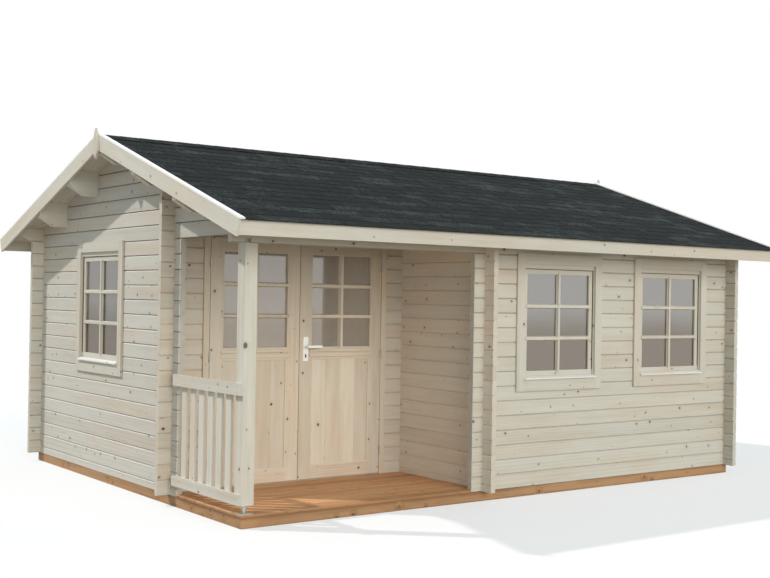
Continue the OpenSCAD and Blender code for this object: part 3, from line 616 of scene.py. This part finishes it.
def lattice(bm, mid, half, low, high, face, glass, axis, columns=2, rows=3):
    """Adds glazing bars over a pane: each widens from the sash's face down to the glass, with a strip on top that laps
    on the sash. face is the sash's face across the wall, glass the pane's, and axis runs along the wall."""
    s = sizes()
    lap, wide, foot = s.bar_lap, s.glazing_bar / 2, s.bar_foot / 2
    out = 1 if face > glass else -1
    middles = [mid - half + 2 * half * k / columns for k in range(1, columns)]
    levels = [low + (high - low) * k / rows for k in range(1, rows)]
    chamfer, free = 0.0025, 0.001
    for along, places, start, end in ((Z, middles, low, high), (axis, levels, mid - half, mid + half)):
        # the bars across lie a little lower than the upright ones that they cross
        deep = face + out * s.bar_depth * (1.0 if along == Z else 0.92)
        for p in places:
            tone = tone_of(p, mid, along)
            strip = [(p - wide, face), (p + wide, face), (p + wide, deep), (p - wide, deep)]
            under = [(p - wide, face), (p + wide, face), (p + foot, glass), (p - foot, glass)]
            if along != Z or axis == Y:
                strip, under = [[(d, t) for t, d in outline] for outline in (strip, under)]
            solid(bm, strip, start - lap, end + lap, along, chamfer, tone)
            solid(bm, under, start + free, end - free, along, 0, tone)


# Operators

class CABIN_OT_logs(bpy.types.Operator):
    """Give the log walls, purlins, post and railing their planed softwood and the base its brown timber"""
    bl_idname = "cabin.logs"
    bl_label = "Logs"

    def execute(self, context):
        s = sizes()
        whole = (s.base_height, s.log_height)
        half = (s.base_height - s.log_height / 2, s.log_height)
        even = 0.08
        # joint sets the painted bevel highlight and groove shade: strongest on the sunlit left wall, fainter in shade
        plain(timber("log_timber_along_x", X, course=whole, spread=even, knots=0.32),
              "front_wall_lower", "front_wall_piers", "front_beam", "back_wall", "eaves_logs")
        plain(timber("log_timber_along_y", Y, course=half, spread=even, knots=0.36, tint=(0.98, 0.98, 1.0),
                     joint=(0.6, 0.75)), "left_wall_lower", "left_wall_piers", "left_gable")
        plain(timber("right_log_timber_y", Y, course=half, spread=even, joint=(0.2, 0.3)), "right_wall", "right_gable")
        # painted light: the porch walls' logs are lighter and warmer, for the warm light bounced from the deck
        plain(timber("porch_log_timber_y", Y, course=half, spread=even, knots=0.24, tint=(1.28, 1.21, 1.17),
                     joint=(0.3, 0.0), ends=0.18), "porch_side_wall")
        plain(timber("porch_log_timber_x", X, course=whole, spread=even, knots=0.30, tint=(1.05, 1.0, 0.97),
                     joint=(0.0, 0.1)), "door_wall_piers", "over_door_logs")
        plain(timber("purlin_timber", X), "purlins")
        plain(timber("post_timber", Z, knots=0.42, knot_size=1.7, grain=1.5), "porch_post")
        rails = [timber("rail_timber", Y, tint=(1.05, 1.05, 1.07)),
                 timber("baluster_timber", Z, knots=0.18, tint=(1.03, 1.03, 1.04))]
        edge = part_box("porch_post")[0].x
        # the rails lie outside the post's face and the balusters behind it: a point just under a face tells them apart
        under = 1e-4
        grain_by_solid("porch_railing", rails, lambda face, spans: int(face.center.x - face.normal.x * under > edge))
        for node in ("base_bearers", "floor_joists"):
            grain_by_solid(node, [base_timber(*axis) for axis in AXES])
        return {"FINISHED"}


class CABIN_OT_joinery(bpy.types.Operator):
    """Give the window and door trim, the frames and the roof's edge boards their planed boards"""
    bl_idname = "cabin.joinery"
    bl_label = "Trim and frames"

    def execute(self, context):
        boards = [timber("trim_timber_" + n, k, knots=0.34, spread=0.04) for n, k in AXES]
        for node in ("front_window_frames", "gable_window_frame", "eaves_fascias", "finials"):
            grain_by_solid(node, boards)
        # door frame and trim warmer than the window trim: painted warm light of the porch
        warm = [timber("door_trim_timber_" + n, k, knots=0.34, tint=(1.06, 0.99, 0.91)) for n, k in AXES]
        for node in ("door_frame", "door_trim"):
            grain_by_solid(node, warm)
        # each sill takes the caps' pale colours: partly a pale finish, partly a painted highlight of the light on its
        # top
        pale_and_highlit_sills = [timber("sill_timber_" + n, k, CAPS, knots=0.10) for n, k in AXES[:2]]
        sill_height = 0.05  # at most; the trim boards are taller
        for node, axis in (("front_window_trims", X), ("gable_window_trim", Y)):
            sill = len(boards) + axis
            grain_by_solid(node, boards + pale_and_highlit_sills, lambda face, spans: sill if spans[Z] < sill_height else None)
        slope = math.tan(sizes().roof_pitch)
        plain(timber("verge_timber", Y, slope=slope, knots=0.30), "barge_boards")
        plain(timber("cap_timber", Y, CAPS, slope=slope, knots=0.10), "verge_caps")
        return {"FINISHED"}


def slope_place(edge, height):
    """Two matrices that take x along the eaves, plan distance up from the eaves edge and height off the roof's
    underside to the front and the back slope."""
    pitch = sizes().roof_pitch
    rise, lift = math.tan(pitch), 1 / math.cos(pitch)
    return [Matrix(((side, 0, 0, 0), (0, side, 0, -side * edge), (0, rise, lift, height), (0, 0, 0, 1)))
            for side in (1, -1)]


class CABIN_OT_roof(bpy.types.Operator):
    """Lay the roof boards, the shingles and the ridge caps"""
    bl_idname = "cabin.roof"
    bl_label = "Roof"

    def execute(self, context):
        s = sizes()
        low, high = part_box("roof_boards")
        edge, half, bottom = high.y, high.x, low.z
        wide, side, thick, groove = s.roof_board, s.roof_board / 2, 0.018, 0.004
        bm = bmesh.new()
        solid(bm, [(-side + groove, 0), (side - groove, 0), (side, groove), (side, thick), (-side, thick),
                   (-side, groove)], 0, edge, Y)
        board = mesh_from("roof_board", bm)
        look = timber("roof_board_timber", Y, toned=True)
        count = round(2 * half / wide)
        along = [m @ Matrix.Translation((-half + side, 0, 0)) for m in slope_place(edge, bottom)]
        meshes = [laid_rows(board, count, 1, (wide, 1), look, m, seed=k + 3) for k, m in enumerate(along)]
        piece("roof_boarding", meshes, "cabin", [look], ["roof_boards"])

        low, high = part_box("roof_covering")
        edge, half, bottom = high.y, high.x, low.z
        look = shingle_finish(edge, s.shingle_row)
        tab, row = s.shingle_tab, s.shingle_row
        side, deep, chamfer = (tab - s.shingle_slot) / 2, 0.0026, 0.0008
        raised, reach = 0.0030, row * 1.55
        rise = -raised / reach
        bm = bmesh.new()
        solid(bm, [(-side, 0), (side, 0), (side, reach), (-side, reach)], 0, deep, Z, chamfer)
        for v in bm.verts:
            v.co.z += raised + v.co.y * rise
        shape = mesh_from("shingle_tab", bm)
        rows = round(edge / row)
        columns = round(2 * half / tab) + 1
        # a felt sheet under the tabs, set back from the eaves and ending just before the ridge, as the tabs do
        back, top, felt_deep, felt_tone = 0.004, edge - 0.0003, 0.0028, 0.1
        bm = bmesh.new()
        block(bm, (-half, back, 0.0), (half, top, felt_deep), 0, felt_tone)
        felt = mesh_from("felt", bm)
        meshes = []
        for k, m in enumerate(slope_place(edge, bottom)):
            meshes.append(laid_rows(shape, columns, rows, (tab, row), look, m @ Matrix.Translation((-half, 0, 0)),
                                    stagger=0.5, cut=(0.0, 2 * half, top), play=0.0016, seed=11 + k))
            sheet = felt.copy()
            sheet.transform(m)
            meshes.append(sheet)
        # ridge caps: short strips bent over the ridge, each on the end of the last
        bent, step, deep, lift = 0.125, 0.168, 0.0035, 0.0028
        long, drop = step * 1.5, -bent * math.tan(s.roof_pitch)
        bm = bmesh.new()
        wing = [(-bent, drop), (0, 0), (bent, drop), (bent, drop + deep), (0, deep), (-bent, drop + deep)]
        solid(bm, wing, 0, long, X)
        for v in bm.verts:
            v.co.z += lift - v.co.x * lift / long
        cap = mesh_from("ridge_cap", bm)
        count = math.ceil(2 * half / step)
        at = Matrix.Translation((-half, 0, high.z - lift))
        meshes.append(laid_rows(cap, count, 1, (step, 1), look, at, cut=(0.0, 2 * half, FAR), seed=23))
        piece("roof_shingles", meshes, "cabin", [look], ["roof_covering"])
        return {"FINISHED"}


class CABIN_OT_floors(bpy.types.Operator):
    """Lay the deck boards and the floor boards"""
    bl_idname = "cabin.floors"
    bl_label = "Deck and floor"

    def execute(self, context):
        s = sizes()
        low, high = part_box("porch_deck")
        # the boards stop short of the log ends at two corners: end is a notch's length and log its depth
        end, free, chamfer, least = 0.105, 0.003, 0.0022, 0.02
        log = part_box("front_beam")[1].y + free - low.y
        bm = bmesh.new()
        y, k = low.y, 0
        while y < high.y - least:
            y1 = min(y + s.deck_board - s.deck_gap, high.y)
            outline = [(low.x, y), (high.x, y), (high.x, y1), (low.x, y1)]
            if y < low.y + log:
                front = low.y + log
                outline[1:2] = [(high.x - end, y), (high.x - end, front), (high.x, front)]
            if y1 > high.y - end:
                back, inner = max(high.y - end, y), low.x + log
                outline[-1:] = [(inner, y1), (inner, back), (low.x, back)] if back > y else [(inner, y1)]
                if back == y:
                    outline[0] = (inner, y)
            solid(bm, outline, low.z, high.z, Z, chamfer, tone_of(k, 3.1))
            y, k = y + s.deck_board, k + 1
        for f in bm.faces:
            f.material_index = int(abs(f.normal.z) < 0.5)
        piece("deck_boards", [bm], "cabin",
              [timber("deck_board_timber", X, BROWN, toned=True, spread=0.34, knots=0.4, tint=(1.20, 1.20, 1.22),
                      grain=1.9), base_timber(*AXES[X])], ["porch_deck"])

        low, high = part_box("room_floor")
        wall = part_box("porch_side_wall")
        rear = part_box("door_wall_piers")[1].y
        left, right = wall[0].x - free, wall[1].x + free
        # in front of the door wall the boards stop at the porch side wall, and short of its log ends by a notch
        reach, notch, joint, chamfer, least = 0.31, 0.108, 0.0006, 0.0012, 0.01
        bm = bmesh.new()
        y, k = low.y, 0
        while y < high.y - least:
            y1 = min(y + s.floor_board, high.y)
            if rear < y < wall[1].y:
                for a, b in ((low.x, left), (right, high.x)):
                    block(bm, (a, y, low.z), (b, y1 - joint, high.z), chamfer, tone_of(k, 7.7, a))
            else:
                start = low.x if y > rear else right + notch if y1 > wall[1].y - reach else right
                block(bm, (start, y, low.z), (high.x, y1 - joint, high.z), chamfer, tone_of(k, 7.7))
            y, k = y + s.floor_board, k + 1
        piece("floor_boards", [bm], "cabin",
              [timber("floor_board_timber", X, toned=True, tint=(0.92, 0.90, 0.86))], ["room_floor"])
        return {"FINISHED"}


class CABIN_OT_glazing(bpy.types.Operator):
    """Fit the panes of windows and doors, and the windows' glazing bars and dark strips of painted shade at the sashes
    """
    bl_idname = "cabin.glazing"
    bl_label = "Windows"

    def execute(self, context):
        s = sizes()
        plain(pane_finish("front_pane", 0.50, 0.04), "front_window_glass")
        plain(pane_finish("gable_pane", 0.34, 0.04), "gable_window_glass")
        # the door panes' thick warm film is mostly a painted reflection of the porch's walls, and partly dust
        plain(pane_finish("door_pane", 0.60, 0.46), "left_door_glass", "right_door_glass")
        bars = timber("bar_timber", Z, toned=True, knots=0.12)
        low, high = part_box("gable_window_glass")
        half = (high.y - low.y) / 2
        panes = sorted({(round(b[0][X], 4), round(b[1][X], 4)) for b in islands(NODES["front_window_glass"].data)})
        front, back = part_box("front_window_glass")
        bm, shade_seals = bmesh.new(), bmesh.new()
        for left, right in panes:
            face, mid = (front.y + back.y - s.sash) / 2, (left + right) / 2
            lattice(bm, mid, half, front.z, back.z, face, front.y, X)
            self.seal(shade_seals, mid, half, front.z, back.z, face, X)
        face, mid = (low.x + high.x - s.sash) / 2, (low.y + high.y) / 2
        lattice(bm, mid, half, low.z, high.z, face, low.x, Y)
        self.seal(shade_seals, mid, half, low.z, high.z, face, Y)
        # painted shade where the sash meets the frame, shaped as dark sealing strips
        piece("window_seals", [shade_seals], "cabin", [dark_finish("dark_hole")])
        piece("window_bars", [bm], "cabin", [bars])
        return {"FINISHED"}

    def seal(self, bm, mid, half, low, high, face, axis):
        """A thin strip in the corner between the sash's face and the frame's reveal, at the head and both jambs: a
        dark sealing strip as painted shade in that corner.
        """
        lap, wide, proud, sunk, chamfer = 0.0427, 0.005, 0.0045, 0.0002, 0.001
        left, right, top = mid - half - lap, mid + half + lap, high + lap
        for u0, u1, z0, z1 in ((left, left + wide, low, top), (right - wide, right, low, top),
                               (left + wide, right - wide, top - wide, top)):
            a, b = [u0, face - proud, z0], [u1, face + sunk, z1]
            if axis == Y:
                a, b = [a[Y], a[X], a[Z]], [b[Y], b[X], b[Z]]
            block(bm, a, b, chamfer)


class CABIN_OT_doors(bpy.types.Operator):
    """Fit the door leaves: grain of stiles and rails, panel boards, mouldings and glazing bars"""
    bl_idname = "cabin.doors"
    bl_label = "Doors"

    def execute(self, context):
        s = sizes()
        # partly the doors' own warmer wood, partly painted warm bounce light of the porch
        tint = tuple(c * colours().door_light for c in colours().door_tint)
        for side, seed in (("left", 31), ("right", 37)):
            body = side + "_door"
            low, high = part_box(side + "_door_leaf")
            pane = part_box(side + "_door_glass")
            lap = 0.0003
            mid, half = (pane[0].x + pane[1].x) / 2, (pane[1].x - pane[0].x) / 2 + lap
            plain(timber(side + "_leaf_timber", Z, rails=(mid, half), knots=0.45, tint=tint, grain=1.5),
                  side + "_door_leaf")
            bars = timber("door_bar_timber", Z, toned=True, knots=0.12, tint=tint)
            bm = bmesh.new()
            for face, glass in ((low.y, pane[0].y), (high.y, pane[1].y)):
                lattice(bm, mid, half, pane[0].z, pane[1].z, face, glass, X)
            piece(side + "_door_bars", [bm], body, [bars])

            low_rail, mid_rail, recess = 0.098, 0.0853, 0.011
            bottom, top = low.z + low_rail, pane[0].z - mid_rail
            count = s.panel_boards
            wide, edge = 2 * half / count, half / count
            deep, groove = 0.006, 0.0022
            bm = bmesh.new()
            solid(bm, [(-edge, 0), (edge, 0), (edge, -deep + groove), (edge - groove, -deep), (-edge + groove, -deep),
                       (-edge, -deep + groove)], bottom, top, Z)
            board = mesh_from("panel_board", bm)
            look = timber("panel_timber", Z, toned=True, knots=0.20, tint=tint, grain=1.5)
            meshes = []
            for face, sign, turn in ((low.y + recess, 1, 0), (high.y - recess, -1, math.pi)):
                place = Matrix.Translation((mid - sign * (half - edge), face, 0)) @ Matrix.Rotation(turn, 4, "Z")
                meshes.append(laid_rows(board, count, 1, (wide, 1), look, place, seed=seed))
            piece(side + "_door_panels", meshes, body, [look])

            # beads round the panel and two mouldings under the glass
            strip = timber("bead_timber", X, knots=0.05, tint=tint)
            bead, bead_proud, bead_chamfer, over, chamfer = 0.014, 0.0015, 0.002, 0.022, 0.003
            left, right = mid - half, mid + half
            bm = bmesh.new()
            for face, out in ((low.y, -1), (high.y, 1)):
                d = sorted((face - out * (recess - deep), face + out * bead_proud))
                for x0 in (left, right - bead):
                    block(bm, (x0, d[0], bottom + bead), (x0 + bead, d[1], top - bead), bead_chamfer)
                for z0 in (bottom, top - bead):
                    block(bm, (left, d[0], z0), (right, d[1], z0 + bead), bead_chamfer)
                for up, tall, proud in ((0.005, 0.030, 0.006), (0.046, 0.022, 0.010)):
                    d = sorted((face, face + out * proud))
                    block(bm, (left - over, d[0], top + up), (right + over, d[1], top + up + tall), chamfer)
            piece(side + "_door_mouldings", [bm], body, [strip])
        return {"FINISHED"}


class CABIN_OT_fittings(bpy.types.Operator):
    """Finish the hinges, lock plates, lever and post's foot, and add the keyholes and the screws"""
    bl_idname = "cabin.fittings"
    bl_label = "Fittings"

    def execute(self, context):
        c = colours()
        zinc = metal("zinc_plated_steel", tuple(c.zinc), 0.42, 0.85)
        satin = metal("satin_fitting", tuple(c.fitting), 0.30, 0.75)
        plain(zinc, "hinge_pins", "left_door_hinges", "right_door_hinges", "post_foot")
        plain(satin, "lock_plates", "door_lever")
        # two screws and a keyhole on each lock plate
        low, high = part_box("lock_plates")
        mid, inset, sunk, hole = (low.x + high.x) / 2, 0.012, 0.0002, 0.050
        span = high.z - low.z - 2 * inset
        meshes = [laid_rows(screw_head(0.0036, 0.0016), 1, 2, (1, span), satin,
                            Matrix.Translation((mid, y, z)) @ Matrix.Rotation(turn, 4, "X"))
                  for y, z, turn in ((low.y + sunk, low.z + inset, math.pi / 2),
                                     (high.y - sunk, high.z - inset, -math.pi / 2))]
        piece("lock_screws", meshes, "right_door", [satin])
        bm = bmesh.new()
        for face, out in ((low.y, -1), (high.y, 1)):
            self.keyhole(bm, mid, low.z + hole, face, out)
        piece("keyholes", [bm], "right_door", [satin, dark_finish("dark_hole")])
        # two screws to a deck board at each joist, but for the boards at the front and back edge
        low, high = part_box("porch_deck")
        pitch, inset, sunk, corner, edges = sizes().deck_board, 0.028, 0.0014, 0.12, 0.15
        joists = sorted({round((b[0][X] + b[1][X]) / 2, 4) for b in islands(NODES["floor_joists"].data)})
        rows = int((high.y - low.y - edges) / pitch)
        meshes = []
        for x in [x for x in joists if low.x < x < high.x - corner]:
            for across in (inset, pitch - sizes().deck_gap - inset):
                place = Matrix.Translation((x, low.y + across + pitch, high.z - sunk))
                meshes.append(laid_rows(screw_head(0.0042, 0.0016), 1, rows, (1, pitch), zinc, place))
        piece("deck_screws", meshes, "cabin", [zinc])
        return {"FINISHED"}

    def keyhole(self, bm, x, z, face, out):
        """A profile cylinder on its raised rim, satin, with the last faces of the mesh dark."""
        up, lap = 0.010, 0.004
        for proud, radius, half, foot, chamfer in ((0.0020, 0.0115, 0.0075, 0.024, 0.001),
                                                   (0.0028, 0.0086, 0.0052, 0.021, 0)):
            first = len(bm.faces)
            d = sorted((face, face + out * proud))
            rod(bm, (x, 0, z + up), radius, *d, Y)
            block(bm, (x - half, d[0], z - foot), (x + half, d[1], z + lap), chamfer)
        bm.faces.ensure_lookup_table()
        for made in bm.faces[first:]:
            made.material_index = 1


class CABIN_OT_stage(bpy.types.Operator):
    """Set up the plain floor, the light and the camera"""
    bl_idname = "cabin.stage"
    bl_label = "Stage"

    def execute(self, context):
        scene = context.scene
        scene.view_settings.view_transform = "Standard"
        bm = bmesh.new()
        bmesh.ops.create_circle(bm, cap_ends=True, segments=96, radius=0.9 * FAR)
        floor = bpy.data.objects.new("floor", mesh_from("floor", bm))
        scene.collection.objects.link(floor)
        made, g = finish("pale_floor")
        place = g.xyz(g.coords())
        seen = g.seen()
        near, white_from = 5.0, 9.5  # m from the middle
        far = (place[X] * place[X] + place[Y] * place[Y]).root().ramp(near, white_from)
        cloud = g.noise(g.coords(), 1.5, 3.0)
        shade = g.mix(cloud, colours().ground, [x * 0.99 for x in colours().ground])
        lit = g.principled({
            "Base Color": g.mix(seen, colours().bounce, shade), "Roughness": 0.9, "Specular IOR Level": 0.1})
        white = g.node("ShaderNodeEmission", None, {"Color": (1, 1, 1, 1), "Strength": 1.0})
        surface(g, g.node("ShaderNodeMixShader", None, {0: (0.55 + 0.45 * far) * seen, 1: lit, 2: white}))
        floor.data.materials.append(made)

        world = bpy.data.worlds.new("studio")
        scene.world = world
        world.use_nodes = True
        world.node_tree.nodes.clear()
        g = Graph(world.node_tree)
        soft = g.node("ShaderNodeBackground", None, {"Color": (0.745, 0.92, 1.0, 1), "Strength": 0.55})
        white = g.node("ShaderNodeBackground", None, {"Color": (1, 1, 1, 1), "Strength": 1.0})
        surface(g, g.node("ShaderNodeMixShader", None, {0: g.seen(), 1: soft, 2: white}), "World")

        for name, travel, strength, angle, tint in (
                ("key_light", (0.515, -0.455, -0.727), 2.45, 1.5, (1.0, 0.965, 0.925)),
                ("front_light", (0.05, 0.96, -0.25), 2.17, 50.0, (1.0, 0.95, 0.875)),
                ("side_light", (-0.99, 0.0, -0.12), 1.1, 40.0, (1.0, 0.98, 0.95))):
            lamp = bpy.data.lights.new(name, "SUN")
            lamp.energy, lamp.angle, lamp.color = strength, math.radians(angle), tint
            made = bpy.data.objects.new(name, lamp)
            made.rotation_mode = "QUATERNION"
            made.rotation_quaternion = Vector(travel).to_track_quat("-Z", "Y")
            scene.collection.objects.link(made)

        camera = bpy.data.cameras.new("camera")
        camera.sensor_fit, camera.sensor_width, camera.lens = "HORIZONTAL", 36.0, 54.75
        camera.clip_end = 5 * FAR
        made = bpy.data.objects.new("camera", camera)
        scene.collection.objects.link(made)
        # degrees to the right of +Y, above level and about the line of sight
        yaw, tilt, roll = (math.radians(a) for a in (36.186, 0.399, 0.940))
        eye = (-6.351, -8.703, 1.551)
        ahead = Vector((math.sin(yaw) * math.cos(tilt), math.cos(yaw) * math.cos(tilt), math.sin(tilt)))
        right = Vector((math.cos(yaw), -math.sin(yaw), 0))
        up = right.cross(ahead)
        turned = math.cos(roll) * right + math.sin(roll) * up
        over = math.cos(roll) * up - math.sin(roll) * right
        turn = Matrix((turned, over, -ahead)).transposed().to_4x4()
        made.matrix_world = Matrix.Translation(eye) @ turn
        scene.camera = made
        return {"FINISHED"}


OPERATORS = (CABIN_OT_logs, CABIN_OT_joinery, CABIN_OT_roof, CABIN_OT_floors, CABIN_OT_glazing, CABIN_OT_doors,
             CABIN_OT_fittings, CABIN_OT_stage)


class CABIN_PT_panel(bpy.types.Panel):
    """The cabin's pieces, sizes and colours"""
    bl_idname = "CABIN_PT_panel"
    bl_label = "Log cabin"
    bl_space_type = "VIEW_3D"
    bl_region_type = "UI"
    bl_category = "Cabin"

    def draw(self, context):
        for operator in OPERATORS:
            self.layout.operator(operator.bl_idname)
        for group in (context.scene.cabin_sizes, context.scene.cabin_colours):
            box = self.layout.box()
            for name in group.__annotations__:
                box.prop(group, name)


CLASSES = (CabinSizes, CabinColours, *OPERATORS, CABIN_PT_panel)


def register():
    for c in CLASSES:
        bpy.utils.register_class(c)
    bpy.types.Scene.cabin_sizes = bpy.props.PointerProperty(type=CabinSizes)
    bpy.types.Scene.cabin_colours = bpy.props.PointerProperty(type=CabinColours)


def unregister():
    del bpy.types.Scene.cabin_sizes, bpy.types.Scene.cabin_colours
    for c in reversed(CLASSES):
        bpy.utils.unregister_class(c)


def main():
    register()
    for operator in OPERATORS:
        group, name = operator.bl_idname.split(".")
        getattr(getattr(bpy.ops, group), name)()
    bpy.context.view_layer.update()


if __name__ == "__main__":
    main()
